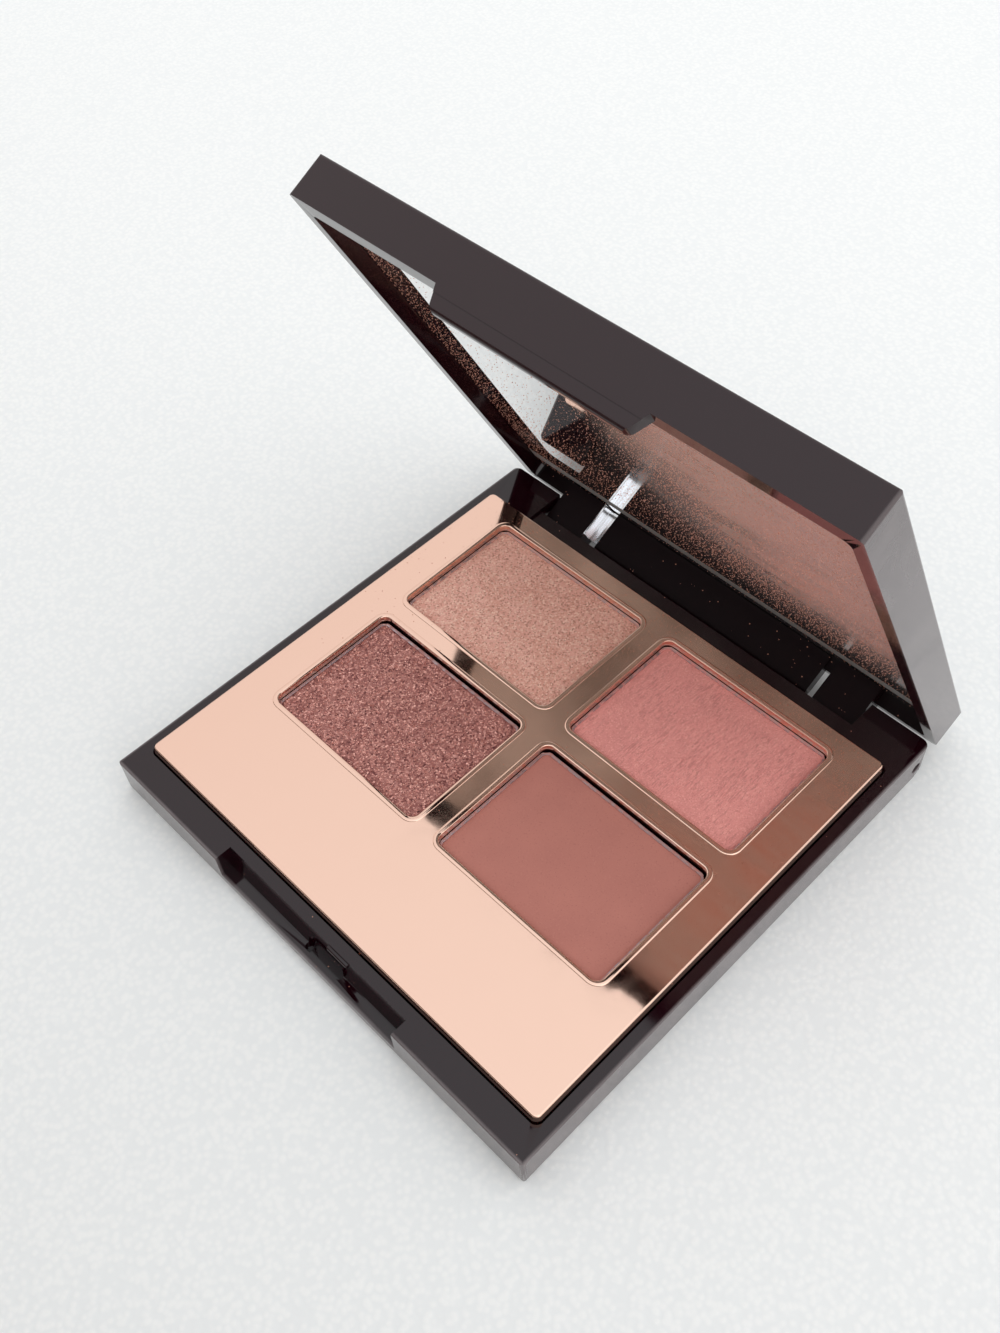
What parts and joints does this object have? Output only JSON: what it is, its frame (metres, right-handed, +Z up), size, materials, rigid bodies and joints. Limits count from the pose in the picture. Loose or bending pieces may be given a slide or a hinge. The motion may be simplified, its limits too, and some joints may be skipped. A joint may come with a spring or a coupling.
{
  "type": "eyeshadow palette",
  "caption": "Slim square compact that opens on a rear hinge to show pressed eyeshadow pans in a metallised plate and a mirror in the lid.",
  "frame": {"origin": "centre of the flat underside, on the surface the palette stands on", "axes": "+X to the right seen from the front, +Y from the front edge to the hinge, +Z up; the lid is stored open"},
  "size_m": [0.07, 0.0762, 0.0668],
  "materials": {
    "case_plastic": "polished black",
    "lid_plastic": "polished dark burgundy black",
    "rose_gold": "rose-gold metallised, mirror bright",
    "pan_metal": "plain pressed sheet",
    "powder_champagne": "pressed satin powder, fine shimmer",
    "powder_pink": "pressed matte powder, scuffed by use",
    "powder_burgundy": "pressed powder, coarse glitter",
    "powder_rosewood": "pressed smooth matte powder",
    "adhesive": "soft white adhesive",
    "steel": "ground and bright",
    "label": "blank printed film",
    "mirror": "silvered glass"
  },
  "bodies": {
    "base": {"base_shell": "case_plastic", "insert_plate": "rose_gold", "pan_back_left": "pan_metal", "pan_back_right": "pan_metal", "pan_front_left": "pan_metal", "pan_front_right": "pan_metal", "powder_back_left": "powder_champagne", "powder_back_right": "powder_pink", "powder_front_left": "powder_burgundy", "powder_front_right": "powder_rosewood", "pan_pad_back_left": "adhesive", "pan_pad_back_right": "adhesive", "pan_pad_front_left": "adhesive", "pan_pad_front_right": "adhesive", "hinge_pin_left": "steel", "hinge_pin_right": "steel", "base_label": "label"},
    "lid": {"lid_shell": "lid_plastic", "mirror_glass": "mirror", "mirror_adhesive": "adhesive", "hinge_leaf": "steel"}
  },
  "joints": [
    {"name": "lid_hinge", "type": "hinge", "parent": "base", "child": "lid", "pos_m": [0, 0.03265, 0.0027], "axis": [-1, 0, 0], "range_deg": [-63, 30]}
  ]
}
